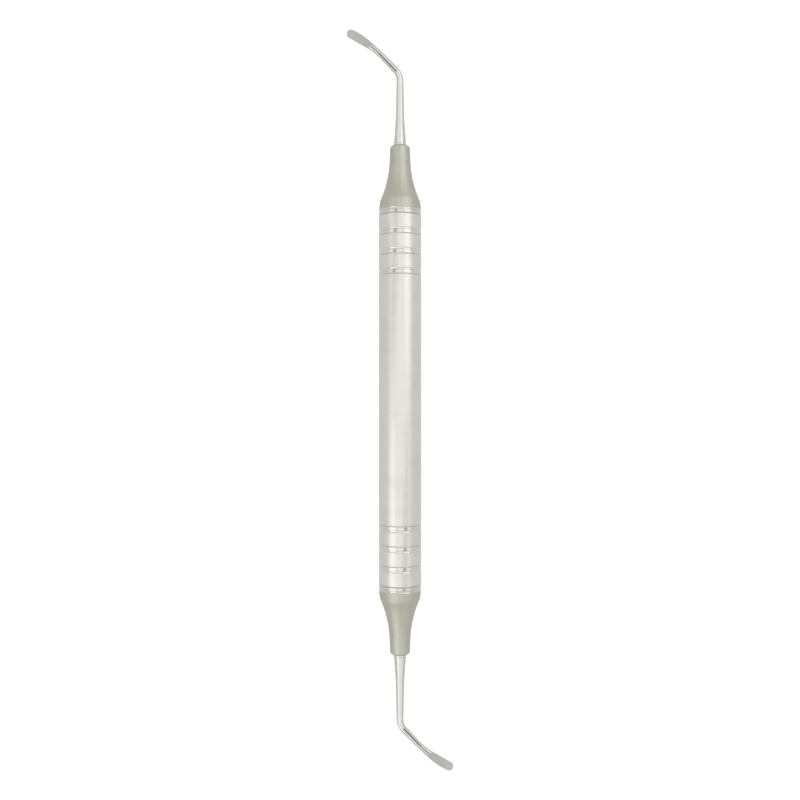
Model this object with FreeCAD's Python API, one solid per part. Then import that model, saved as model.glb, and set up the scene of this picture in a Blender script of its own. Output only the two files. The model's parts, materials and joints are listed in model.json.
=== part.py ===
import FreeCAD, Part
import math
import os

# Double-ended spoon elevator with a hollow handle. Millimetres.
# It lies as it comes to rest on a flat top: on its handle and on the lower blade's edge.
# +X runs along the handle towards the upper end, and the origin is the handle's centre.
# The pieces are drawn upright, with Z along the handle. One end is drawn in its own frame:
# height 0 is the parting line between handle and collar ring, and heights grow outwards.
# The lower end is the upper one turned half a turn about Y. The upper blade bends towards
# -X there, and its ground face looks towards -Y.

Vector = FreeCAD.Vector
AXIS = Vector(0, 0, 1)
ORIGIN = Vector(0, 0, 0)

# Handle
handle_length = 86.0            # between the two parting lines
handle_diameter = 10.0
handle_wall = 1.2
edge_break = 0.15               # bevel on each side of a parting line
ring_pitch = 4.65               # from the parting line to the first turned band
ring_count = 3                  # turned bands at each end of the handle
cove_width = 0.55               # hollow groove beside each polished band
cove_depth = 0.12

# Collar ring
ring_inset = 0.05               # radial step from the handle in to the ring
ring_thickness = 1.45
ring_band_width = 0.85          # plain polished band, up to the cove

# Ferrule, the matte cone
ferrule_length = 16.5           # from the parting line to its outer face
ferrule_inset = 0.07            # radial step from the handle in to its base
crease_inset = 0.325            # and in to the crease
crease_height = 3.56
crease_bulge = 0.04             # crown of the band below the crease
flare_height = 13.24            # where the flare meets the neck
flare_hollow = 0.50             # depth of the flare's hollow below its chord
neck_diameter = 4.90
neck_taper = 0.08               # on the radius, from the flare to the shoulder
shoulder_radius = 0.75

# Spigot of the ferrule, inside the handle
pilot_length = 2.5
relief_depth = 0.1              # of the relief, below the thread's root
relief_length = 1.5
thread_length = 6.0
thread_depth = 0.3              # radial room between the two threads' plain cylinders
spigot_bevel = 0.4

# Seal
seal_section = 0.76
seal_groove_height = 1.0
seal_groove_offset = 0.7        # below the parting line

# Thread insert
insert_wall = 0.55              # round the pilot's bore
thread_step = 0.25              # from the pilot's bore in to the thread's
insert_floor = 2.0
insert_recess = 0.1             # below the handle's end face
thread_run_out = 2.0            # free depth under the spigot

# Tang and its pin
tang_diameter = 2.5
tang_reach = 4.6                # below the parting line
tang_bore_room = 0.1            # free depth under the tang
pin_diameter = 1.0
pin_recess = 0.1                # each end below the relief's surface

# Shank and arm
shank_base_diameter = 3.05
shank_knee_diameter = 1.97      # where the base curve meets the straight taper
shank_knee_height = 25.0
shank_end_diameter = 1.60       # at the bend
bend_height = 33.2              # the corner of the centreline, from the parting line
bend_angle = 44.0
bend_radius = 3.6
arm_waist_diameter = 1.41
arm_waist = 6.5                 # distances along the arm are counted from the bend's corner
arm_straight = 5.6

# Blade
blade_curve_radius = 26.0
blade_width = 2.23
blade_widest = 14.0
blade_depth = 1.10              # of the rod that the face is ground from
blade_length = 16.05            # to the tip
tip_inset = 0.015               # of the tip's round, inside half the blade's width
tip_lift = 0.28                 # how far the tip's back rises towards the face
tip_lift_start = 11.0
wheel_radius = 11.4             # of the ground face, along the blade
wheel_crown_radius = 10.0       # of the ground face, across the blade
wheel_width = 6.0
wheel_place = 13.5              # deepest point of the ground face
wheel_depth = 0.10              # past the centreline, towards the back
wheel_tilt = 5.7                # degrees, deeper on the inner edge
shank_section_spacing = 1.0     # between the sections that the shank is lofted from
arm_section_spacing = 0.47      # and those of the bend, arm and blade
tang_lap = 0.5                  # how far the tang's rod runs up inside the shank
resting_tolerance = 0.005       # of the outline that the resting roll is found from
steepest_roll = 60.0            # degrees

# Fits and clearances
press = 0.01                    # radial interference of a pressed piece
slip = 0.01                     # radial clearance of the tang in its bore
turning_fit = 0.05              # radial clearance between pieces that turn
face_gap = 0.02                 # axial clearance between faces that turn
seal_clearance = 0.03           # the seal is drawn just clear of the bore

# Worked out from the sizes above
handle_radius = handle_diameter / 2
handle_bore_radius = handle_radius - handle_wall
ring_radius = handle_radius - ring_inset
pilot_bore_radius = handle_bore_radius - insert_wall
pilot_radius = pilot_bore_radius - turning_fit
thread_bore_radius = pilot_bore_radius - thread_step
thread_root_radius = thread_bore_radius - thread_depth
relief_radius = thread_root_radius - relief_depth
tip_radius = blade_width / 2 - tip_inset
relief_bottom = -(pilot_length + relief_length)
spigot_bottom = relief_bottom - thread_length
insert_bottom = spigot_bottom - thread_run_out - insert_floor
ring_top = face_gap + ring_thickness
ring_seat = ring_top + face_gap
cove_height = face_gap + ring_band_width + cove_width / 2
pin_height = -(pilot_length + relief_length / 2)
bend = math.radians(bend_angle)
bend_setback = bend_radius * math.tan(bend / 2)
shank_length = bend_height - bend_setback - ferrule_length
bend_path = bend_radius * bend
arm_path = arm_straight - bend_setback


def turned(outline):
    """Solid of revolution about Z from a closed list of edges in the XZ plane."""
    return Part.Face(Part.Wire(outline)).revolve(ORIGIN, AXIS, 360)


def line(start, end):
    """Straight edge between two (radius, height) points."""
    return Part.LineSegment(Vector(start[0], 0, start[1]), Vector(end[0], 0, end[1])).toShape()


def bowed(start, end, bulge):
    """Arc between two (radius, height) points, bulge away from the axis in its middle."""
    run = end[0] - start[0]
    rise = end[1] - start[1]
    chord = math.hypot(run, rise)
    middle_radius = (start[0] + end[0]) / 2 + bulge * rise / chord
    middle_height = (start[1] + end[1]) / 2 - bulge * run / chord
    middle = Vector(middle_radius, 0, middle_height)
    return Part.Arc(Vector(start[0], 0, start[1]), middle, Vector(end[0], 0, end[1])).toShape()


def chain(points):
    """Straight edges through a list of (radius, height) points."""
    return [line(points[i], points[i + 1]) for i in range(len(points) - 1)]


def rod(radius, bottom, top):
    return Part.makeCylinder(radius, top - bottom, Vector(0, 0, bottom))


def tube(outer, inner, bottom, top):
    return rod(outer, bottom, top).cut(rod(inner, bottom - 1, top + 1))


def cove(radius, height):
    """Round-bottomed groove cutter for a surface of the given radius."""
    half = cove_width / 2
    section = (half ** 2 + cove_depth ** 2) / (2 * cove_depth)
    return Part.makeTorus(radius + section - cove_depth, section, Vector(0, 0, height))


def vee(radius, height):
    """Cutter for a small V groove, as wide as two bevels."""
    outside = (radius + edge_break, height + 2 * edge_break)
    bottom = (radius - edge_break, height)
    below = (radius + edge_break, height - 2 * edge_break)
    return turned(chain([bottom, outside, below, bottom]))


def bevel(radius, height, inward):
    """Cutter for the bevel on an end face; inward is the direction into the piece."""
    tip = (radius - edge_break, height)
    outside = (radius + edge_break, height)
    inside = (radius + edge_break, height + inward * 2 * edge_break)
    return turned(chain([tip, outside, inside, tip]))


def make_handle_tube():
    half = handle_length / 2
    body = tube(handle_radius, handle_bore_radius, -half, half)
    for side in (-1, 1):
        body = body.cut(bevel(handle_radius, side * half, -side))
        for number in range(1, ring_count + 1):
            parting = half - number * ring_pitch
            body = body.cut(vee(handle_radius, side * parting))
            body = body.cut(cove(handle_radius, side * (parting + cove_height)))
    return body


def make_collar_ring():
    ring = tube(ring_radius, pilot_bore_radius, face_gap, ring_top)
    ring = ring.cut(bevel(ring_radius, face_gap, 1))
    return ring.cut(cove(ring_radius, cove_height))


def make_thread_insert():
    bush = rod(handle_bore_radius + press, insert_bottom, -insert_recess)
    pilot_bore = rod(pilot_bore_radius, -pilot_length - face_gap, 0)
    thread_bore = rod(thread_bore_radius, insert_bottom + insert_floor, 0)
    return bush.cut(pilot_bore).cut(thread_bore)


def make_ferrule():
    base = (handle_radius - ferrule_inset, ring_seat)
    crease = (handle_radius - crease_inset, crease_height)
    waist = (neck_diameter / 2, flare_height)
    shoulder = (neck_diameter / 2 - neck_taper, ferrule_length - shoulder_radius)
    face_edge = (shoulder[0] - shoulder_radius, ferrule_length)
    shoulder_bulge = shoulder_radius * (1 - math.sqrt(0.5))
    groove_top = -seal_groove_offset
    groove_bottom = groove_top - seal_groove_height
    groove_radius = pilot_bore_radius - seal_clearance - seal_section + press
    outline = chain([
        (0, ferrule_length), (0, spigot_bottom),
        (thread_root_radius - spigot_bevel, spigot_bottom),
        (thread_root_radius, spigot_bottom + spigot_bevel),
        (thread_root_radius, relief_bottom), (relief_radius, relief_bottom),
        (relief_radius, -pilot_length), (pilot_radius, -pilot_length),
        (pilot_radius, groove_bottom), (groove_radius, groove_bottom),
        (groove_radius, groove_top), (pilot_radius, groove_top),
        (pilot_radius, ring_seat), base])
    outline.append(bowed(base, crease, crease_bulge))
    outline.append(bowed(crease, waist, -flare_hollow))
    outline.append(line(waist, shoulder))
    outline.append(bowed(shoulder, face_edge, shoulder_bulge))
    outline.append(line(face_edge, (0, ferrule_length)))
    bore = rod(tang_diameter / 2 + slip, -tang_reach - tang_bore_room, ferrule_length + 1)
    return turned(outline).cut(bore).cut(pin_rod(pin_diameter / 2 - press, 2 * pilot_radius))


def make_seal():
    section = seal_section / 2
    middle = pilot_bore_radius - seal_clearance - section
    height = -seal_groove_offset - seal_groove_height / 2
    return Part.makeTorus(middle, section, Vector(0, 0, height))


def pin_rod(radius, length):
    """Rod across the spigot at the pin's place."""
    start = Vector(0, -length / 2, pin_height)
    return Part.makeCylinder(radius, length, start, Vector(0, 1, 0))


def make_tang_pin():
    return pin_rod(pin_diameter / 2, 2 * (relief_radius - pin_recess))


def smooth(start, end, place):
    """0 before start, 1 after end, with level ends between."""
    share = min(max((place - start) / (end - start), 0), 1)
    return share * share * (3 - 2 * share)


def centreline(path):
    """Sideways and height place, and lean in radians, of a point along the working end."""
    if path <= shank_length:
        return 0.0, ferrule_length + path, 0.0
    past = path - shank_length
    if past <= bend_path:
        lean = past / bend_radius
        side = bend_radius * (1 - math.cos(lean))
        return side, ferrule_length + shank_length + bend_radius * math.sin(lean), lean
    past -= bend_path
    run = bend_setback + min(past, arm_path)
    side = run * math.sin(bend)
    height = bend_height + run * math.cos(bend)
    if past <= arm_path:
        return side, height, bend
    lean = bend + (past - arm_path) / blade_curve_radius
    side += blade_curve_radius * (math.cos(bend) - math.cos(lean))
    height += blade_curve_radius * (math.sin(lean) - math.sin(bend))
    return side, height, lean


def path_at(arm_distance):
    """Path length at a distance from the bend's corner, out along the arm."""
    return shank_length + bend_path + arm_distance - bend_setback


def half_sizes(path):
    """Half width in the plane of the bend, half depth along Y, and lift towards -Y."""
    if path <= shank_length:
        height = ferrule_length + path
        knee = shank_knee_diameter / 2
        taper = (knee - shank_end_diameter / 2) / (bend_height - shank_knee_height)
        radius = knee + taper * (shank_knee_height - height)
        spread = shank_base_diameter / 2 - knee - taper * (shank_knee_height - ferrule_length)
        base = max(shank_knee_height - height, 0) / (shank_knee_height - ferrule_length)
        radius += spread * base ** 2
        return radius, radius, 0.0
    out = path - path_at(0)
    start = half_sizes(shank_length)[0]
    share = min((path - shank_length) / (path_at(arm_waist) - shank_length), 1)
    rod_radius = start + (arm_waist_diameter / 2 - start) * share
    spread = smooth(arm_waist, blade_widest, out)
    width = rod_radius + (blade_width / 2 - rod_radius) * spread
    depth = rod_radius + (blade_depth / 2 - rod_radius) * spread
    lift = tip_lift * (max(out - tip_lift_start, 0) / (blade_length - tip_lift_start)) ** 2
    return width, depth, lift


def section(path, count=16):
    """Closed oval across the working end."""
    side, height, lean = centreline(path)
    width, depth, lift = half_sizes(path)
    points = []
    for step in range(count):
        turn = 2 * math.pi * step / count
        across = width * math.cos(turn)
        x = -side - across * math.cos(lean)
        z = height - across * math.sin(lean)
        points.append(Vector(x, depth * math.sin(turn) - lift, z))
    curve = Part.BSplineCurve()
    curve.interpolate(Points=points, PeriodicFlag=True)
    return Part.Wire([curve.toShape()])


def blade_frame(arm_distance, depth=0.0):
    """Placement on the blade: X out along it, Y to its back, Z across it to the inner edge."""
    side, height, lean = centreline(path_at(arm_distance))
    out = Vector(-math.sin(lean), 0, math.cos(lean))
    back = Vector(0, 1, 0)
    turn = FreeCAD.Rotation(out, back, out.cross(back), "XYZ")
    return FreeCAD.Placement(Vector(-side, depth, height), turn)


def grinding_wheel():
    """Crowned wheel that hollows the blade's face, in place."""
    half = wheel_width / 2
    crown = wheel_crown_radius - math.sqrt(wheel_crown_radius ** 2 - half ** 2)
    rim = wheel_radius - crown
    outline = [line((rim, half), (0, half)), line((0, half), (0, -half)), line((0, -half), (rim, -half))]
    outline.append(bowed((rim, -half), (rim, half), crown))
    wheel = turned(outline)
    wheel.translate(Vector(0, -wheel_radius, 0))
    wheel.rotate(ORIGIN, Vector(1, 0, 0), -wheel_tilt)
    wheel.Placement = blade_frame(wheel_place, wheel_depth).multiply(wheel.Placement)
    return wheel


def tip_trim():
    """Everything beyond the rounded tip."""
    reach = 2 * blade_width
    block = Part.makeBox(reach, 2 * reach, 2 * reach, Vector(0, -reach, -reach))
    round_end = Part.makeCylinder(tip_radius, 2 * reach, Vector(0, -reach, 0), Vector(0, 1, 0))
    trim = block.cut(round_end)
    trim.Placement = blade_frame(blade_length - tip_radius)
    return trim


def lofted(start, end, spacing):
    """Length of the working end between two places, through evenly spaced sections."""
    steps = math.ceil((end - start) / spacing)
    sections = [section(start + (end - start) * step / steps) for step in range(steps + 1)]
    return Part.makeLoft(sections, True, False)


def make_working_end():
    shank = lofted(0, shank_length, shank_section_spacing)
    arm = lofted(shank_length, path_at(blade_length + tip_radius), arm_section_spacing)
    blade = arm.cut(grinding_wheel()).cut(tip_trim())
    tang = rod(tang_diameter / 2, -tang_reach, ferrule_length + tang_lap)
    pin_hole = pin_rod(pin_diameter / 2 - press, 2 * pilot_radius)
    return shank.fuse(blade).fuse(tang).cut(pin_hole)


def place_end(shape, lower):
    """Puts a piece drawn in the end's own frame on the handle's upper or lower end."""
    placed = shape.copy()
    placed.translate(Vector(0, 0, handle_length / 2))
    if lower:
        placed.rotate(ORIGIN, Vector(0, 1, 0), 180)
    return placed


def resting_roll(working_end):
    """Degrees that the handle rolls over on a flat top before a blade touches it."""
    outline = working_end.tessellate(resting_tolerance)[0]
    low, high = 0.0, steepest_roll
    for halving in range(30):
        roll = math.radians((low + high) / 2)
        reach = max(point.y * math.cos(roll) - point.x * math.sin(roll) for point in outline)
        if reach < handle_radius:
            low = math.degrees(roll)
        else:
            high = math.degrees(roll)
    return low


def lay_down(shape, roll):
    """From upright to lying: Z goes to X, -X to Y and -Y up, and then it rolls over."""
    lying = shape.copy()
    lying.rotate(ORIGIN, Vector(1, 0, 0), -90)
    lying.rotate(ORIGIN, AXIS, -90)
    lying.rotate(ORIGIN, Vector(1, 0, 0), roll)
    return lying


def save(shape, name):
    solid = shape if shape.ShapeType == "Solid" else shape.Solids[0]
    print(name, "valid", shape.isValid(), "solids", len(shape.Solids), "volume", round(solid.Volume, 3))
    solid.exportStep("parts/" + name + ".step")


def main():
    os.makedirs("parts", exist_ok=True)
    working_end = make_working_end()
    roll = resting_roll(working_end)
    print("resting roll", round(roll, 3), "degrees")
    pieces = {
        "thread_insert": make_thread_insert(),
        "collar_ring": make_collar_ring(),
        "o_ring": make_seal(),
        "ferrule": make_ferrule(),
        "working_end": working_end,
        "tang_pin": make_tang_pin(),
    }
    save(lay_down(make_handle_tube(), roll), "handle_tube")
    for name, shape in pieces.items():
        save(lay_down(place_end(shape, False), roll), "upper_" + name)
        save(lay_down(place_end(shape, True), roll), "lower_" + name)


main()
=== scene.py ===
# %% [markdown]
# # A double-ended spoon elevator, finished in Blender
#
# A spoon elevator is a hand instrument for lifting gum and membrane from bone. This one has
# a hollow steel handle, and at each end a screw-in tip: a polished collar ring, a bead-blasted
# cone, and a bent shank that ends in a small spoon. The CAD model gives every piece its place
# and size. This lesson adds what CAD leaves out: surfaces that catch the light as turned,
# blasted, polished and ground steel do, a finely meshed shank and spoon, and the screw thread.

# %% Load the frame
import json
import math

import bmesh
import bpy
import numpy as np
from mathutils import Matrix, Vector


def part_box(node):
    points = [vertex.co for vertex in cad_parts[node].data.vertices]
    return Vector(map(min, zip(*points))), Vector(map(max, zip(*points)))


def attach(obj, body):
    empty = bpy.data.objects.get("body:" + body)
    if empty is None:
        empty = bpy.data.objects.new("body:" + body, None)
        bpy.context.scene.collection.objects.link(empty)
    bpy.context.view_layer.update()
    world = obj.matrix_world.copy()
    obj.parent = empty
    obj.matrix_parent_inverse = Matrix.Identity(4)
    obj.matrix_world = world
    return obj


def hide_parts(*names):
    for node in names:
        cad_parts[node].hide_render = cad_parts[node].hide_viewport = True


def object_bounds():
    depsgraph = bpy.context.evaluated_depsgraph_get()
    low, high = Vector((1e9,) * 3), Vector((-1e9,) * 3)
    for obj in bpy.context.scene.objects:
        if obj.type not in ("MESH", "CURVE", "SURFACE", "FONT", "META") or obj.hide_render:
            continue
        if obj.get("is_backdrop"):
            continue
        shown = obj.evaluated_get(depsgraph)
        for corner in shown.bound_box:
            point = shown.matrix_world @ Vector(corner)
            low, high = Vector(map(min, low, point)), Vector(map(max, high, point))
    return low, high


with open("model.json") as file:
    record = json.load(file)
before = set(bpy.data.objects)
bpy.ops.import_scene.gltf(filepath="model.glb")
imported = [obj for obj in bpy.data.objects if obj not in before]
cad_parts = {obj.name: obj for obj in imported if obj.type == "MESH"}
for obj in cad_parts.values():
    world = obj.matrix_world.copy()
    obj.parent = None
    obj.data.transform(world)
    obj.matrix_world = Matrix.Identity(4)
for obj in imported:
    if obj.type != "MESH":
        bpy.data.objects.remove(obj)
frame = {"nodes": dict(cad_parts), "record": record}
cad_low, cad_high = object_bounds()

mm = 0.001
print("CAD box in mm:", [round((high - low) / mm, 2) for low, high in zip(cad_low, cad_high)])

# %% [markdown]
# ## Where things are
#
# The instrument lies on a flat top, with its handle along X, rolled over until the lower
# blade touches. It is easier to think of it upright, with Z along the handle, the blades
# bent to the sides and their ground faces towards the viewer, at -Y. One matrix lays such
# an upright place down. The lower end is the upper one turned half a turn about Y, so each
# end is worked out once, with height 0 at the parting line between handle and collar ring.

# %% From upright to lying, and the places that the frame gives
roll = math.radians(22.346)
lay_down = Matrix((
    (0, 0, 1, 0),
    (-math.cos(roll), math.sin(roll), 0, 0),
    (-math.sin(roll), -math.cos(roll), 0, 0),
    (0, 0, 0, 1),
))
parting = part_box("handle_tube")[1].x
handle_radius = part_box("handle_tube")[1].y
cone_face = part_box("upper_ferrule")[1].x - parting
ring_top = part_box("upper_collar_ring")[1].x - parting
spigot_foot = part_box("upper_ferrule")[0].x - parting
print("parting line at", round(parting / mm, 2), "mm, cone ends", round(cone_face / mm, 2), "mm past it")

# %% [markdown]
# ## Writing shaders as sums
#
# A finish is a formula: so much roughness, plus a little noise, but only inside a band. Drawn
# as nodes, such a formula is a large web. Here one small class wraps an output socket and
# gives it Python's operators, so `0.2 + 0.1 * noise` adds the Math nodes by itself. Any other
# node comes from one method, `add`, which takes the node's type, its settings and its inputs.

# %% A socket that can be calculated with
class Socket:
    """An output of a node. Arithmetic on it adds Math nodes to the same material."""

    def __init__(self, finish, output):
        self.finish = finish
        self.output = output

    def math(self, operation, first, second=0.0):
        return self.finish.add("Math", {"operation": operation}, {0: first, 1: second})

    def __add__(self, other):
        return self.math("ADD", self, other)

    def __sub__(self, other):
        return self.math("SUBTRACT", self, other)

    def __rsub__(self, other):
        return self.math("SUBTRACT", other, self)

    def __mul__(self, other):
        return self.math("MULTIPLY", self, other)

    def __mod__(self, other):
        return self.math("FLOORED_MODULO", self, other)

    def __pow__(self, other):
        return self.math("POWER", self, other)

    def __abs__(self):
        return self.math("ABSOLUTE", self)

    def __lt__(self, other):
        return self.math("LESS_THAN", self, other)

    __radd__ = __add__
    __rmul__ = __mul__


print("a socket understands + - * % ** abs and <")

# %% [markdown]
# The other half is the finish itself: a material, or the room's world, whose nodes are added
# one by one. Besides `add` it has a few named recipes, such as `noise` and `band`, that the
# finishes share. All lengths in them are in millimetres, because 0.2 reads better than 0.0002.

# %% A finish, to which nodes are added
class Finish:
    """A material or a world under construction, with lengths in millimetres."""

    def __init__(self, owner):
        self.owner = owner
        self.owner.use_nodes = True
        self.tree = self.owner.node_tree
        self.tree.nodes.clear()

    def add(self, kind, settings=None, inputs=None, out=0):
        node = self.tree.nodes.new("ShaderNode" + kind)
        for name, value in (settings or {}).items():
            setattr(node, name, value)
        for name, value in (inputs or {}).items():
            self.feed(node.inputs[name], value)
        return Socket(self, node.outputs[out]) if node.outputs else None

    def feed(self, socket, value):
        if isinstance(value, Socket):
            self.tree.links.new(value.output, socket)
        elif socket.type == "RGBA":
            socket.default_value = (*value, 1.0)
        else:
            socket.default_value = value

    def place(self):
        """The point on the surface, in the object's own frame, in millimetres."""
        point = self.add("TexCoord", out="Object")
        return self.add("VectorMath", {"operation": "SCALE"}, {0: point, "Scale": 1 / mm})

    def split(self, vector):
        node = self.add("SeparateXYZ", inputs={0: vector}).output.node
        return [Socket(self, output) for output in node.outputs]

    def noise(self, vector, size, detail=2.0, roughness=0.5):
        """Soft noise from 0 to 1 whose blobs are about `size` across."""
        sockets = {"Vector": vector, "Scale": 1 / size, "Detail": detail, "Roughness": roughness}
        return self.add("TexNoise", inputs=sockets, out="Fac")

    def lines(self, along, size, detail=2.0):
        """Noise that changes only with one number, so that it reads as parallel lines."""
        sockets = {"W": along, "Scale": 1 / size, "Detail": detail}
        return self.add("TexNoise", {"noise_dimensions": "1D"}, sockets, out="Fac")

    def ease(self, value, start, end, low=0.0, high=1.0):
        """low up to start, high from end on, and a smooth change between."""
        sockets = {"Value": value, "From Min": start, "From Max": end, "To Min": low, "To Max": high}
        return self.add("MapRange", {"interpolation_type": "SMOOTHSTEP"}, sockets)

    def band(self, value, start, end, soft):
        """1 between start and end, 0 outside, with soft sides."""
        begun = self.ease(value, start - soft, start + soft)
        lasting = self.ease(value, end - soft, end + soft, 1.0, 0.0)
        return begun * lasting

    def blend(self, first, second, share):
        """A colour between two colours."""
        return self.add("Mix", {"data_type": "RGBA"}, {0: share, 6: first, 7: second}, out=2)

    def bump(self, height, depth, normal=None):
        """Shading normal of a surface that rises by `depth` millimetres where height is 1."""
        sockets = {"Height": height, "Distance": depth * mm}
        if normal is not None:
            sockets["Normal"] = normal
        return self.add("Bump", inputs=sockets)

    def steel(self, colour, roughness, normal=None, metallic=1.0):
        sockets = {"Base Color": colour, "Roughness": roughness, "Metallic": metallic}
        if normal is not None:
            sockets["Normal"] = normal
        return self.finish_with(self.add("BsdfPrincipled", inputs=sockets))

    def finish_with(self, shader, output="OutputMaterial"):
        self.add(output, inputs={"Surface": shader})
        return self.owner


def new_finish(name):
    return Finish(bpy.data.materials.new(name))


def report(material):
    print(material.name, "has", len(material.node_tree.nodes), "nodes")


print("recipes:", [name for name in vars(Finish) if not name.startswith("_")])

# %% [markdown]
# ## Satin steel, for the handle
#
# The handle is turned on a lathe and then brushed while it spins, so its fine lines run round
# it. Lines that depend only on x would be perfect rings. A second, very flat noise breaks
# them up, as the brush does. Next to each turned groove runs a band that is polished bright.
# The bands repeat, so a remainder after division finds them all at once. The hollow coves
# beside the bands are polished too. The bore inside is left rough.

# %% Satin handle with polished bands
ring_pitch = 4.65
ring_count = 3
band_width = ring_top / mm - 0.02
cove_height = 1.15
cove_half_width = 0.26
bore_radius = handle_radius / mm - 0.5
warm_grey = (0.745, 0.73, 0.68)
polished_grey = (0.72, 0.71, 0.665)
brush_shade = (0.60, 0.585, 0.53)
cloud_shade = (0.66, 0.64, 0.575)


def satin_steel():
    finish = new_finish("satin_steel")
    place = finish.place()
    x, y, z = finish.split(place)
    depth = parting / mm - abs(x)
    flat = finish.add("VectorMath", {"operation": "MULTIPLY"}, {0: place, 1: (1.0, 0.15, 0.15)})
    brushed = finish.noise(flat, 0.07, detail=3.0) * 0.6 + finish.lines(x, 0.05) * 0.4
    cloud = finish.noise(place, 3.5)
    step = depth % ring_pitch
    last_band = ring_count * ring_pitch
    cove_middle = ring_pitch - cove_height
    banded = finish.band(step, ring_pitch - band_width, ring_pitch - 0.05, 0.04)
    banded = banded * finish.ease(depth, last_band, last_band + 0.05, 1.0, 0.0)
    coved = finish.band(step, cove_middle - cove_half_width, cove_middle + cove_half_width, 0.03)
    coved = coved * (depth < last_band)
    radius = (y * y + z * z) ** 0.5
    bore = finish.ease(radius, bore_radius - 0.1, bore_radius + 0.1, 1.0, 0.0)
    rough = 0.36 + 0.07 * (cloud - 0.5) + 0.10 * (brushed - 0.5)
    rough = rough * (1 - 0.40 * banded) * (1 - 0.7 * coved) + 0.12 * bore
    colour = finish.blend(warm_grey, polished_grey, banded)
    colour = finish.blend(colour, brush_shade, finish.ease(brushed, 0.35, 0.75, 0.0, 0.30))
    colour = finish.blend(colour, cloud_shade, finish.ease(cloud, 0.45, 0.75, 0.0, 0.5))
    normal = finish.bump(brushed * (1 - 0.7 * banded), 0.003)
    return finish.steel(colour, rough, normal)


finishes = {"satin_steel": satin_steel()}
report(finishes["satin_steel"])

# %% [markdown]
# ## Polished steel, for the collar rings
#
# The ring between handle and cone is buffed, so it mirrors its surroundings almost sharply.
# A mirror finish still isn't perfect: buffing leaves a faint haze and hair-fine lines. The
# cove below the cone is polished brightest.

# %% Polished ring
def polished_steel():
    finish = new_finish("polished_steel")
    place = finish.place()
    x = finish.split(place)[0]
    hair = finish.lines(x, 0.06)
    haze = finish.noise(place, 1.8, detail=3.0)
    height = abs(x) - parting / mm
    coved = finish.band(height, cove_height - cove_half_width, cove_height + cove_half_width, 0.03)
    rough = (0.20 + 0.06 * haze + 0.04 * (hair - 0.5)) * (1 - 0.7 * coved)
    colour = finish.blend((0.62, 0.605, 0.55), (0.675, 0.66, 0.605), haze)
    return finish.steel(colour, rough, finish.bump(hair, 0.0012))


finishes["polished_steel"] = polished_steel()
report(finishes["polished_steel"])

# %% [markdown]
# ## Blasted steel, for the cones
#
# Glass beads blown at the cone dent it all over, which scatters the light and makes the steel
# look grey and dry. Two sizes of noise make the dents. Handling rubs the high places smoother,
# the crease below the flare and the rounded shoulder at the top, and their colour is painted
# lighter as a painted highlight. Inside the handle the same piece is bare turned steel, because
# the screw thread is masked while the cone is blasted.

# %% Bead-blasted cone
crease_height = 3.56
shoulder_height = 15.75
dent_shade = (0.48, 0.469, 0.40)
dent_light = (0.58, 0.567, 0.49)
cone_shade = (0.455, 0.443, 0.377)
wear_and_highlight_colour = (0.56, 0.553, 0.51)
bare_steel = (0.55, 0.545, 0.51)


def blasted_steel():
    finish = new_finish("blasted_steel")
    place = finish.place()
    x = finish.split(place)[0]
    height = abs(x) - parting / mm
    grain = finish.noise(place, 0.09, detail=3.0, roughness=0.6)
    mottle = finish.noise(place, 0.22, detail=2.0)
    cloud = finish.noise(place, 3.0)
    blasted = finish.ease(height, ring_top / mm - 0.05, ring_top / mm + 0.02)
    # Crease and shoulder bands: rubbed smoother by handling, and also painted lighter as a painted
    # highlight.
    wear_and_highlight = finish.band(height, crease_height - 0.25, crease_height + 0.25, 0.25)
    wear_and_highlight = wear_and_highlight + finish.band(height, shoulder_height - 0.1, shoulder_height + 0.35, 0.25)
    wear_and_highlight = wear_and_highlight * (0.15 + 0.5 * mottle)
    speckle = finish.ease(grain * 0.45 + mottle * 0.55, 0.32, 0.68)
    dry = finish.blend(dent_shade, dent_light, speckle)
    dry = finish.blend(dry, cone_shade, finish.ease(cloud, 0.45, 0.75, 0.0, 0.35))
    # Painted highlight: the crease and shoulder bands are painted lighter here.
    dry = finish.blend(dry, wear_and_highlight_colour, wear_and_highlight)
    colour = finish.blend(bare_steel, dry, blasted)
    rough = 0.26 + blasted * (0.20 - 0.10 * wear_and_highlight) + 0.06 * (cloud - 0.5)
    turned = finish.lines(x, 0.12)
    coarse = finish.bump(mottle * blasted, 0.014)
    fine = finish.bump(grain * blasted + turned * (1 - blasted) * 0.4, 0.007, coarse)
    return finish.steel(colour, rough, fine)


finishes["blasted_steel"] = blasted_steel()
report(finishes["blasted_steel"])

# %% [markdown]
# ## Bright steel and the ground face, for shank and spoon
#
# The shank is polished by hand along its length on a felt wheel. That leaves long shallow
# waves, so its reflections are stripes with slightly wandering edges. The spoon's face is
# ground on a small wheel and left matte, with grinding lines across the blade. Both finishes
# follow the bent rod, so they use a place that the mesh carries as an attribute: where each
# point would be if the rod were straight.

# %% Shank
def blade_steel():
    finish = new_finish("blade_steel")
    unbent = finish.add("Attribute", {"attribute_name": "unbent"}, out="Vector")
    waves = finish.add("VectorMath", {"operation": "MULTIPLY"}, {0: unbent, 1: (0.10, 1.0, 1.0)})
    hairs = finish.add("VectorMath", {"operation": "MULTIPLY"}, {0: unbent, 1: (0.06, 1.0, 1.0)})
    streaks = finish.noise(waves, 0.40, detail=1.0)
    hairlines = finish.noise(hairs, 0.035, detail=3.0)
    haze = finish.noise(unbent, 1.5, detail=3.0)
    rough = 0.06 + 0.04 * haze + 0.04 * (hairlines - 0.5)
    colour = finish.blend((0.615, 0.607, 0.565), (0.69, 0.68, 0.635), haze)
    normal = finish.bump(hairlines, 0.0003, finish.bump(streaks, 0.0007))
    return finish.steel(colour, rough, normal)


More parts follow.
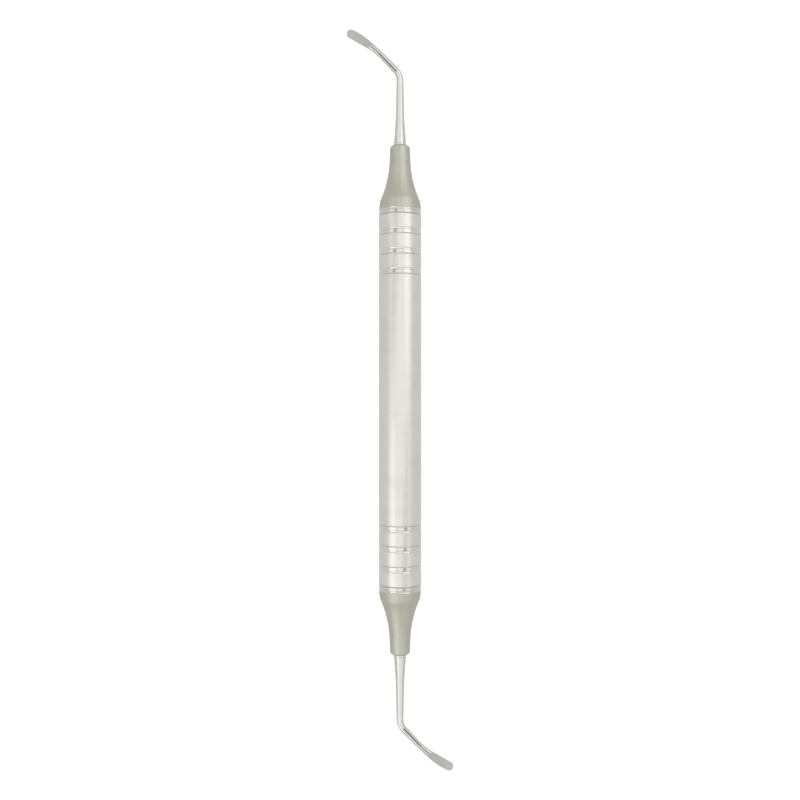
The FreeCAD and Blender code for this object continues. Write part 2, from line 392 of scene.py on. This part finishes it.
finishes["blade_steel"] = blade_steel()
report(finishes["blade_steel"])

# %% [markdown]
# The ground face starts where the wheel first touched the rod. It comes in over about a
# millimetre, bright first and then matte, counted along the straightened rod from the cone.

# %% Ground face
fade_start = 25.6
fade_end = 26.5
ground_shade = (0.435, 0.43, 0.395)
ground_light = (0.52, 0.513, 0.475)
bright_start = (0.62, 0.62, 0.60)


def ground_steel():
    finish = new_finish("ground_steel")
    unbent = finish.add("Attribute", {"attribute_name": "unbent"}, out="Vector")
    cross = finish.add("VectorMath", {"operation": "MULTIPLY"}, {0: unbent, 1: (1.0, 0.15, 0.15)})
    ground = finish.noise(cross, 0.05, detail=3.0)
    cloud = finish.noise(unbent, 0.9)
    along, across = finish.split(unbent)[:2]
    matte = finish.ease(along + 0.5 * cloud - across, fade_start, fade_end)
    rough = 0.15 + matte * (0.27 + 0.08 * (ground - 0.5) + 0.06 * (cloud - 0.5))
    dull = finish.blend(ground_shade, ground_light, ground * 0.5 + cloud * 0.5)
    colour = finish.blend(bright_start, dull, matte)
    return finish.steel(colour, rough, finish.bump(ground * matte, 0.004))


face_finish = ground_steel()
report(face_finish)

# %% [markdown]
# ## Hidden pieces: insert, pin and seal
#
# These show only when an end is unscrewed. The insert keeps the lathe's tool marks. The pin
# is ground along its length. The seal is moulded silicone, dark, with a soft skin and fine
# dust on it.

# %% Turned, drawn and moulded finishes
def turned_steel():
    finish = new_finish("turned_steel")
    marks = finish.lines(finish.split(finish.place())[0], 0.10)
    rough = 0.26 + 0.12 * marks
    colour = finish.blend((0.50, 0.495, 0.46), (0.60, 0.595, 0.56), marks)
    return finish.steel(colour, rough, finish.bump(marks, 0.004))


def pin_steel():
    finish = new_finish("pin_steel")
    x, y, z = finish.split(finish.place())
    sideways = y * math.cos(roll) + z * math.sin(roll)
    along_pin = finish.add("CombineXYZ", inputs={"X": x, "Y": sideways})
    scratches = finish.noise(along_pin, 0.05, detail=3.0)
    colour = finish.blend((0.50, 0.50, 0.48), (0.62, 0.62, 0.60), scratches)
    return finish.steel(colour, 0.2 + 0.1 * scratches, finish.bump(scratches, 0.002))


def silicone():
    finish = new_finish("silicone")
    place = finish.place()
    skin = finish.noise(place, 0.08, detail=3.0)
    dust = finish.ease(finish.noise(place, 0.3, detail=4.0), 0.55, 0.8)
    colour = finish.blend((0.030, 0.030, 0.034), (0.085, 0.085, 0.088), dust)
    return finish.steel(colour, 0.42 + 0.2 * dust, finish.bump(skin, 0.004), metallic=0.0)


finishes["insert_steel"] = turned_steel()
finishes["pin_steel"] = pin_steel()
finishes["silicone"] = silicone()
print("finishes:", sorted(finishes), "and", face_finish.name)

# %% [markdown]
# ## Finishing the CAD pieces
#
# The CAD meshes keep their shape, and a CAD mesh is never changed. Each one takes the finish
# that the record names for it.

# %% Give each CAD node its finish
for subpart in frame["record"]["subparts"]:
    mesh = frame["nodes"][subpart["node"]].data
    mesh.materials.clear()
    mesh.materials.append(finishes[subpart["material_slot"]])

# %% [markdown]
# ## The shank, the arm and the spoon
#
# On the real instrument this is one rod. It is turned to a taper, bent, flattened at its end,
# and a small crowned wheel grinds the spoon's face into the flat. A loft from CAD comes with
# uneven triangles, which show as soon as polished steel reflects something. So the piece is
# built again here from the same sizes, as rings of points in even rows.
#
# Each ring is an oval round the centreline. First come the sizes, counted from the parting
# line for the shank and from the corner of the bend for the arm.

# %% Sizes of the working end
shank_base_radius = 1.525 * mm
shank_knee_radius = 0.985 * mm
shank_knee_height = 25.0 * mm
shank_end_radius = 0.80 * mm
bend_height = 33.2 * mm
bend = math.radians(44.0)
bend_radius = 3.6 * mm
arm_waist_radius = 0.705 * mm
arm_waist = 6.5 * mm
arm_straight = 5.6 * mm
blade_curve_radius = 26.0 * mm
blade_half_width = 1.115 * mm
blade_widest = 14.0 * mm
blade_half_depth = 0.55 * mm
blade_length = 16.045 * mm
tip_radius = 1.1 * mm
tip_lift = 0.28 * mm
tip_lift_start = 11.0 * mm
tang_radius = 1.25 * mm
tang_reach = 4.6 * mm
tang_bevel = 0.2 * mm

bend_setback = bend_radius * math.tan(bend / 2)
shank_length = bend_height - bend_setback - cone_face
arm_start = shank_length + bend_radius * bend
corner = arm_start - bend_setback
tip = corner + blade_length
print("working end:", round(tip / mm, 2), "mm along its centreline, from cone to tip")

# %% [markdown]
# The centreline is a straight run, an arc at the bend, a second straight run, and a gentle
# arc along the blade. Its width and depth follow simple curves from size to size.

# %% The centreline and the oval round it
def ease(start, end, place):
    share = np.clip((place - start) / (end - start), 0, 1)
    return share * share * (3 - 2 * share)


def centreline(path):
    """Sideways place, height and lean of points along the working end."""
    lean = np.clip((path - shank_length) / bend_radius, 0, bend)
    run = np.clip(path - arm_start, 0, arm_straight - bend_setback)
    curl = np.maximum(path - arm_start - (arm_straight - bend_setback), 0) / blade_curve_radius
    side = bend_radius * (1 - np.cos(lean)) + run * np.sin(bend)
    side = side + blade_curve_radius * (np.cos(bend) - np.cos(bend + curl))
    height = cone_face + np.minimum(path, shank_length) + bend_radius * np.sin(lean)
    height = height + run * np.cos(bend) + blade_curve_radius * (np.sin(bend + curl) - np.sin(bend))
    return side, height, lean + curl


def half_sizes(path):
    """Half width in the plane of the bend, half depth along Y, and lift towards the face."""
    height = cone_face + np.minimum(path, shank_length)
    taper = (shank_knee_radius - shank_end_radius) / (bend_height - shank_knee_height)
    flare = shank_base_radius - shank_knee_radius - taper * (shank_knee_height - cone_face)
    above = np.maximum(shank_knee_height - height, 0) / (shank_knee_height - cone_face)
    shank = shank_knee_radius + taper * (shank_knee_height - height) + flare * above ** 2
    out = path - corner
    share = np.clip((path - shank_length) / (corner + arm_waist - shank_length), 0, 1)
    rod = shank + (arm_waist_radius - shank) * share
    spread = ease(arm_waist, blade_widest, out)
    width = rod + (blade_half_width - rod) * spread
    depth = rod + (blade_half_depth - rod) * spread
    lift = tip_lift * (np.maximum(out - tip_lift_start, 0) / (blade_length - tip_lift_start)) ** 2
    return width, depth, lift


tip_side, _, tip_lean = centreline(np.array(tip))
print("tip", round(tip_side / mm, 2), "mm to the side, leaning", round(math.degrees(tip_lean), 1), "degrees")

# %% [markdown]
# The face is the surface of a crowned wheel, 11.4 mm in radius along the blade and 10 mm
# across it, tilted a little so that it cuts deeper on the inner edge. For a point along and
# across the blade this gives the depth of the ground surface. The tilt mixes depth and
# across, so the depth is worked out in a few rounds, each starting from the last.

# %% The grinding wheel's surface
wheel_radius = 11.4 * mm
wheel_crown_radius = 10.0 * mm
wheel_place = 13.5 * mm
wheel_depth = 0.10 * mm
wheel_tilt = math.radians(5.7)


def wheel_surface(x, z):
    """Depth (upright Y) of the ground face at upright places x, z of the upper end."""
    side, height, lean = centreline(np.array(corner + wheel_place))
    outwards = (z - height) * np.cos(lean) - (x + side) * np.sin(lean)
    across = -(x + side) * np.cos(lean) - (z - height) * np.sin(lean)
    depth = np.zeros_like(across)
    for rounds in range(4):
        axial = depth * math.sin(wheel_tilt) + across * math.cos(wheel_tilt)
        radius = wheel_radius - wheel_crown_radius + np.sqrt(wheel_crown_radius ** 2 - axial ** 2)
        level = np.sqrt(radius ** 2 - outwards ** 2) - wheel_radius
        depth = (level + across * math.sin(wheel_tilt)) / math.cos(wheel_tilt)
    return depth + wheel_depth


hollow = blade_half_width ** 2 / (2 * wheel_crown_radius)
print("across the blade the wheel cuts a hollow about", round(hollow / mm, 3), "mm deep")

# %% [markdown]
# Now the rings. A ring's points are of two kinds: those of the round back, and those of the
# front. Where the wheel has cut, the front is the ground face, and the two lines where it
# meets the back are the blade's edges. Each ring therefore looks for the two angles at which
# its oval passes through the wheel's surface. Before the cut, the same two columns of points
# spread out over the round front, where they make no edge.

# %% Rings of points along the working end
face_columns = 16
back_columns = 40
front_angle = math.radians(-90)
foot_groove_height = 0.45 * mm
foot_groove_depth = 0.035 * mm
foot_groove_width = 0.09 * mm
spread_before_cut = 2.5 * mm
widest_gap = math.radians(50)
narrowest_gap = math.radians(1.5)
thinnest_tip = 0.14


def ring_sizes(path):
    """Centre, lean and half sizes at one place, with the foot groove and the rounded tip."""
    side, height, lean = centreline(np.array(path))
    width, depth, lift = half_sizes(np.array(path))
    groove = foot_groove_depth * math.exp(-((path - foot_groove_height) / foot_groove_width) ** 2)
    width, depth = width - groove, depth - groove
    past = path - corner - (blade_length - tip_radius)
    thin = 1.0
    if past > 0:
        thin = math.sqrt(max(1 - (past / tip_radius) ** 2, 0))
        width = min(width, tip_radius * thin)
    return side, height, lean, width, depth, lift, thin


def oval(sizes, angle):
    """Upright places at angles round one ring."""
    side, height, lean, width, depth, lift, thin = sizes
    across = width * np.cos(angle)
    x = -side - across * np.cos(lean)
    z = height - across * np.sin(lean)
    return np.stack([x, depth * np.sin(angle) - lift, z], 1)


def edges_of_cut(path):
    """The two angles where the ring meets the wheel, and the angle between that is cut deepest."""
    angle = np.linspace(math.radians(-210), math.radians(30), 961)
    points = oval(ring_sizes(path), angle)
    clear = points[:, 1] - wheel_surface(points[:, 0], points[:, 2])
    deepest = int(np.argmin(clear))
    if clear[deepest] >= 0 or path < corner + arm_waist:
        return None
    first, last = deepest, deepest
    while clear[first - 1] < 0:
        first -= 1
    while clear[last + 1] < 0:
        last += 1
    outer = np.interp(0, [clear[first], clear[first - 1]], [angle[first], angle[first - 1]])
    inner = np.interp(0, [clear[last], clear[last + 1]], [angle[last], angle[last + 1]])
    return outer, inner, angle[deepest]


def find_cut_start():
    """Place along the rod where the wheel first touches it, by halving."""
    low, high = corner + arm_waist, corner + wheel_place
    for halving in range(30):
        middle = (low + high) / 2
        if edges_of_cut(middle) is None:
            low = middle
        else:
            high = middle
    return high, edges_of_cut(high)[2]


cut_start, cut_angle = find_cut_start()
print("the ground face starts", round((cut_start - corner) / mm, 2), "mm past the bend")

# %% [markdown]
# Rings stand close together where the shape turns quickly: at the foot, round the bend,
# where the face begins, and at the rounded tip. At the tip they follow a sine, so that the
# last rings shrink as a circle does.

# %% Build one ring, and all of them
def ring(path):
    """One ring of points, counted from the outer edge over the face and round the back."""
    sizes = ring_sizes(path)
    cut = edges_of_cut(path) if path > cut_start else None
    if cut is None:
        gap = float(ease(cut_start - spread_before_cut, cut_start, path))
        gap = widest_gap + (narrowest_gap - widest_gap) * gap
        turned = float(ease(cut_start, cut_start - spread_before_cut, path))
        centre = cut_angle + (front_angle - cut_angle) * turned
        outer, inner = centre - gap, centre + gap
    else:
        outer, inner, deepest = cut
    face_angles = np.linspace(outer, inner, face_columns + 1)
    back_angles = np.linspace(inner, outer + 2 * math.pi, back_columns + 1)[1:-1]
    face = oval(sizes, face_angles)
    back = oval(sizes, back_angles)
    if cut is not None:
        share = np.linspace(0, 1, face_columns + 1)[:, None]
        face = face[:1] + (face[-1:] - face[:1]) * share
        face[:, 1] = wheel_surface(face[:, 0], face[:, 2])
        level = wheel_surface(back[:, 0], back[:, 2])
        back[:, 1] = level + (back[:, 1] - level) * max(sizes[6], thinnest_tip)
    points = np.concatenate([face, back])
    side, height, lean = sizes[:3]
    across = -(points[:, 0] + side) * np.cos(lean) - (points[:, 2] - height) * np.sin(lean)
    straight = np.stack([np.full(len(points), path), across, points[:, 1]], 1)
    return points, straight


def stations():
    """Places along the rod for the rings, close together where the shape turns quickly."""
    foot = np.arange(0, 1.2, 0.03) * mm
    shank = np.arange(1.2 * mm, shank_length, 0.30 * mm)
    bent = np.linspace(shank_length, arm_start, 40, endpoint=False)
    arm = np.arange(arm_start, cut_start - 0.3 * mm, 0.20 * mm)
    opening = np.linspace(cut_start - 0.3 * mm, cut_start + 0.6 * mm, 40, endpoint=False)
    blade = np.arange(cut_start + 0.6 * mm, tip - tip_radius, 0.10 * mm)
    turn = np.linspace(0, math.radians(88), 36)
    rounded = tip - tip_radius + tip_radius * np.sin(turn)
    return np.concatenate([foot, shank, bent, arm, opening, blade, rounded])


paths = stations()
rings = [ring(path) for path in paths]
print("rings:", len(rings), "of", face_columns + back_columns, "points")

# %% [markdown]
# A small function joins any list of rings into a mesh of four-sided faces, with a flat cap at
# each end. It also carries the straightened places, for the finishes that need them.

# %% Join rings into a mesh
def place_upright(points, lower):
    """Upright places of the upper end, moved past the parting line, or turned to the lower end."""
    placed = np.array(points)
    placed[:, 2] += parting
    if lower:
        placed = placed * (-1, 1, -1)
    return placed @ np.array(lay_down.to_3x3()).T


def skin(name, rings, lower, straight=None, crease=30.0):
    """A closed mesh over rings with equal numbers of points."""
    count, columns = len(rings), len(rings[0])
    points = place_upright(np.concatenate(rings), lower)
    faces = []
    for row in range(0, (count - 1) * columns, columns):
        for column in range(columns):
            beside = (column + 1) % columns
            faces.append((row + column, row + beside, row + columns + beside, row + columns + column))
    faces.append(tuple(reversed(range(columns))))
    faces.append(tuple(range((count - 1) * columns, count * columns)))
    mesh = bpy.data.meshes.new(name)
    mesh.from_pydata(points.tolist(), [], faces)
    mesh.shade_smooth()
    if straight is not None:
        attribute = mesh.attributes.new("unbent", "FLOAT_VECTOR", "POINT")
        attribute.data.foreach_set("vector", (np.concatenate(straight) / mm).astype(np.float32).ravel())
    piece = bpy.data.objects.new(name, mesh)
    bpy.context.scene.collection.objects.link(piece)
    tidy_normals(mesh)
    mesh.set_sharp_from_angle(angle=math.radians(crease))
    return piece


def tidy_normals(mesh):
    """Turns every face outwards."""
    shape = bmesh.new()
    shape.from_mesh(mesh)
    bmesh.ops.recalc_face_normals(shape, faces=shape.faces)
    shape.to_mesh(mesh)
    shape.free()


print("a rod of", len(rings), "rings gives", (len(rings) - 1) * len(rings[0][0]) + 2, "faces")

# %% [markdown]
# Inside the cone the rod goes on as a plain tang. Three more rings in front of the others
# make it one closed piece, which is then made once for each end. The columns of the ground
# face take the matte finish.

# %% Shank and spoon of both ends
def tang_rings():
    """Rings of the tang, from its foot up to the cone's outer face."""
    outer, inner = front_angle - widest_gap, front_angle + widest_gap
    front = np.linspace(outer, inner, face_columns + 1)
    back = np.linspace(inner, outer + 2 * math.pi, back_columns + 1)[1:-1]
    angle = np.concatenate([front, back])
    circle = np.stack([-np.cos(angle), np.sin(angle), np.zeros_like(angle)], 1)
    foot = circle * (tang_radius - tang_bevel) + (0, 0, -tang_reach)
    bevel = circle * tang_radius + (0, 0, tang_bevel - tang_reach)
    mouth = circle * tang_radius + (0, 0, cone_face)
    return [foot, bevel, mouth]


def make_spoon(end, lower):
    tang = tang_rings()
    shape = tang + [points for points, straight in rings]
    straight = [points[:, (2, 0, 1)] for points in tang] + [straight for points, straight in rings]
    spoon = skin(end + "_shank_and_spoon", shape, lower, straight)
    spoon.data.materials.append(finishes["blade_steel"])
    spoon.data.materials.append(face_finish)
    first = len(tang) + int(np.searchsorted(paths, cut_start, side="right")) - 1
    columns = face_columns + back_columns
    for polygon in spoon.data.polygons[first * columns:(len(shape) - 1) * columns]:
        if polygon.index % columns < face_columns:
            polygon.material_index = 1
    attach(spoon, end + "_end")
    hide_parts(end + "_working_end")
    return spoon


for end, lower in (("upper", False), ("lower", True)):
    spoon = make_spoon(end, lower)
    points = np.array([vertex.co for vertex in spoon.data.vertices])
    cad_box = np.array([tuple(corner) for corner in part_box(end + "_working_end")])
    low_gap = (points.min(axis=0) - cad_box[0]) / mm
    high_gap = (points.max(axis=0) - cad_box[1]) / mm
    print(spoon.name, len(spoon.data.polygons), "faces; its box against CAD, in mm:")
    print("  low", np.round(low_gap, 3), "high", np.round(high_gap, 3))

# %% [markdown]
# ## The screw thread
#
# Each cone carries an M6 x 0.75 thread that screws into the insert in the handle. The CAD
# model leaves it out, because a true helix is heavy and hides inside. It shows when an end is
# unscrewed, so here it is: a flat-topped ridge that climbs 0.75 mm in each turn. The insert
# has the same ridge facing inwards. It stands only 0.075 mm along from the screw's, where half
# a pitch would clear it, so the two ridges overlap inside the joint. That fault is known.

# %% Thread ridges
thread_pitch = 0.75 * mm
thread_root = 2.70 * mm
thread_crest = 2.97 * mm
insert_root = 3.00 * mm
insert_crest = 2.73 * mm
flank = math.radians(30)
crest_width = thread_pitch / 8
thread_top = -4.15 * mm
thread_bottom = spigot_foot + 0.55 * mm
steps_per_turn = 72
run_out = 0.35
least_ridge = 0.04
ridge_sunk = 0.02 * mm
insert_thread_bottom = thread_bottom - 0.6 * mm
insert_thread_phase = 0.3


def thread_rings(root, crest, bottom, top, phase):
    """Rings of a helical ridge that fades out over part of a turn at both ends."""
    sunk = math.copysign(ridge_sunk, crest - root)
    turns = (top - bottom) / thread_pitch
    made = []
    for step in range(round(turns * steps_per_turn) + 1):
        turn = step / steps_per_turn
        fade = min(turn / run_out, (turns - turn) / run_out, 1)
        reach = root + (crest - root) * max(fade, least_ridge)
        base = crest_width / 2 + abs(crest - root) * math.tan(flank)
        half_crest = base - abs(reach - root) * math.tan(flank)
        angle = 2 * math.pi * (turn + phase)
        outward = np.array([math.cos(angle), math.sin(angle), 0])
        height = bottom + turn * thread_pitch
        profile = ((root - sunk, -base), (reach, -half_crest), (reach, half_crest), (root - sunk, base))
        made.append(np.array([outward * radius + (0, 0, height + rise) for radius, rise in profile]))
    return made


def make_ridge(name, lower, body, ridge_rings):
    ridge = skin(name, ridge_rings, lower, crease=20.0)
    ridge.data.materials.append(finishes["insert_steel"])
    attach(ridge, body)
    print(ridge.name, len(ridge.data.polygons), "faces")


screw = thread_rings(thread_root, thread_crest, thread_bottom, thread_top, 0.0)
insert = thread_rings(insert_root, insert_crest, insert_thread_bottom, thread_top, insert_thread_phase)
for end, lower in (("upper", False), ("lower", True)):
    make_ridge(end + "_screw_thread", lower, end + "_end", screw)
    make_ridge(end + "_insert_thread", lower, "handle", insert)

# %% [markdown]
# ## A white table, soft light and a camera
#
# The instrument is shown as in a catalogue: seen from straight above its ground faces, on
# plain white. The table glows a little, so it stays white, and glossy rays pass through it,
# so both ends mirror the same even grey-white room.

# %% Table
table_size = 3.0
table_gap = 0.05 * mm


def make_table():
    shape = bmesh.new()
    bmesh.ops.create_grid(shape, x_segments=1, y_segments=1, size=table_size / 2)
    mesh = bpy.data.meshes.new("table")
    shape.to_mesh(mesh)
    shape.free()
    table = bpy.data.objects.new("table", mesh)
    table.location.z = cad_low.z - table_gap
    bpy.context.scene.collection.objects.link(table)
    finish = new_finish("white_table")
    sockets = {"Base Color": (0.35, 0.35, 0.35), "Roughness": 0.9}
    sockets.update({"Emission Color": (1.0, 1.0, 1.0), "Emission Strength": 0.9})
    mesh.materials.append(finish.finish_with(finish.add("BsdfPrincipled", inputs=sockets)))
    table.visible_glossy = False
    table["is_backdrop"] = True
    return table


table = make_table()
print("table at z", round(table.location.z / mm, 2), "mm")

# %% [markdown]
# Polished steel has no colour of its own to speak of: it shows what stands round it. So the
# room is part of the finish. An even, slightly grey room gives the edges. A wide fill panel
# lifts the middle, and a brighter key softbox to one side draws the stripe along shank and
# cone. A dark card draws the thin dark line along the arm that makes polished steel look like
# steel. All of it stands once for each end: the lower set is the upper one turned half a turn
# about the line of sight.

# %% Lights and cards
softboxes = {
    "key": {"size": (0.20, 0.34), "gain": 0.66, "place": (0.180, -0.215, 0.165)},
    "fill": {"size": (0.46, 0.26), "gain": 0.36, "place": (-0.110, -0.300, 0.125)},
}
cards = {
    "arm_card": {"size": (0.028, 0.165), "place": (-0.113, -0.200, 0.067), "lean": -55.0},
}
card_black = (0.02, 0.02, 0.02)
end_middle = (0.0, 0.0, 0.062)


def aim(thing, place, lower, lean=0.0):
    """Puts a thing at an upright place, facing the end's middle, turned over for the lower end."""
    sign = -1 if lower else 1
    place = Vector((sign * place[0], place[1], sign * place[2]))
    target = Vector((sign * end_middle[0], end_middle[1], sign * end_middle[2]))
    forward = (target - place).normalized()
    right = forward.cross(Vector((0, 0, 1))).normalized()
    turn = Matrix((right, right.cross(forward), -forward)).transposed().to_4x4()
    turn = turn @ Matrix.Rotation(math.radians(lean), 4, "Z")
    thing.matrix_world = lay_down @ Matrix.Translation(place) @ turn
    bpy.context.scene.collection.objects.link(thing)


def make_softbox(name, end, lower, size, gain, place):
    light = bpy.data.lights.new(f"{end}_{name}_softbox", "AREA")
    light.shape = "RECTANGLE"
    light.size, light.size_y = size
    light.energy = gain * math.pi * size[0] * size[1]
    softbox = bpy.data.objects.new(light.name, light)
    softbox.visible_camera = False
    aim(softbox, place, lower)


def make_card(name, end, lower, size, place, lean):
    mesh = bpy.data.meshes.new(f"{end}_{name}")
    x, y = Vector(size) / 2
    corners = [(-x, -y, 0), (x, -y, 0), (x, y, 0), (-x, y, 0)]
    mesh.from_pydata(corners, [], [(0, 1, 2, 3)])
    card = bpy.data.objects.new(mesh.name, mesh)
    finish = new_finish(mesh.name)
    mesh.materials.append(finish.finish_with(finish.add("BsdfDiffuse", inputs={"Color": card_black})))
    card.visible_camera = False
    aim(card, place, lower, lean)
    card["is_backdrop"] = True


for end, lower in (("upper", False), ("lower", True)):
    for name, softbox in softboxes.items():
        make_softbox(name, end, lower, **softbox)
    for name, card in cards.items():
        make_card(name, end, lower, **card)
print("softboxes:", list(softboxes), "and cards:", list(cards), "for each end")

# %% [markdown]
# The room itself is the world. The camera sees it pure white, like the table, but what lights
# the steel is a light grey. If steel mirrored pure white, its edges would melt into the table.
# A Mix Shader tells the two apart by the kind of ray.

# %% Room
room_grey = 0.78


def make_room():
    room = Finish(bpy.data.worlds.new("room"))
    lit = room.add("Background", inputs={"Color": (room_grey, room_grey, room_grey)})
    seen = room.add("Background", inputs={"Color": (1.0, 1.0, 1.0)})
    camera_ray = room.add("LightPath", out="Is Camera Ray")
    shader = room.add("MixShader", inputs={0: camera_ray, 1: lit, 2: seen})
    bpy.context.scene.world = room.finish_with(shader, "OutputWorld")


make_room()
print("room:", len(bpy.context.scene.world.node_tree.nodes), "nodes")

# %% [markdown]
# The camera looks straight at the ground faces. It is near enough for the ends to lean back a
# little in perspective. The handle runs up the picture. Colours are shown as they are,
# without a film curve.

# %% Camera
camera_distance = 0.215
camera_lens = 41.3


def make_camera():
    camera = bpy.data.objects.new("camera", bpy.data.cameras.new("camera"))
    camera.data.lens = camera_lens
    camera.data.clip_start = 0.01
    upright = Matrix.Translation((0, -camera_distance, 0)) @ Matrix.Rotation(math.radians(90), 4, "X")
    camera.matrix_world = lay_down @ upright
    bpy.context.scene.collection.objects.link(camera)
    bpy.context.scene.camera = camera


make_camera()
bpy.context.scene.view_settings.view_transform = "Standard"
print("camera", round(camera_distance / mm), "mm away")

# %% [markdown]
# Last come two boxes: that of the CAD model and that of the finished one. A finish may add
# shine but no size, so the two should agree.

# %% Print both boxes
boxes = {"cad": [list(cad_low), list(cad_high)], "visual": [list(corner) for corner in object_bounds()]}
for name, box in boxes.items():
    print("the", name, "box in mm:", np.round(np.array(box) / mm, 2).tolist())
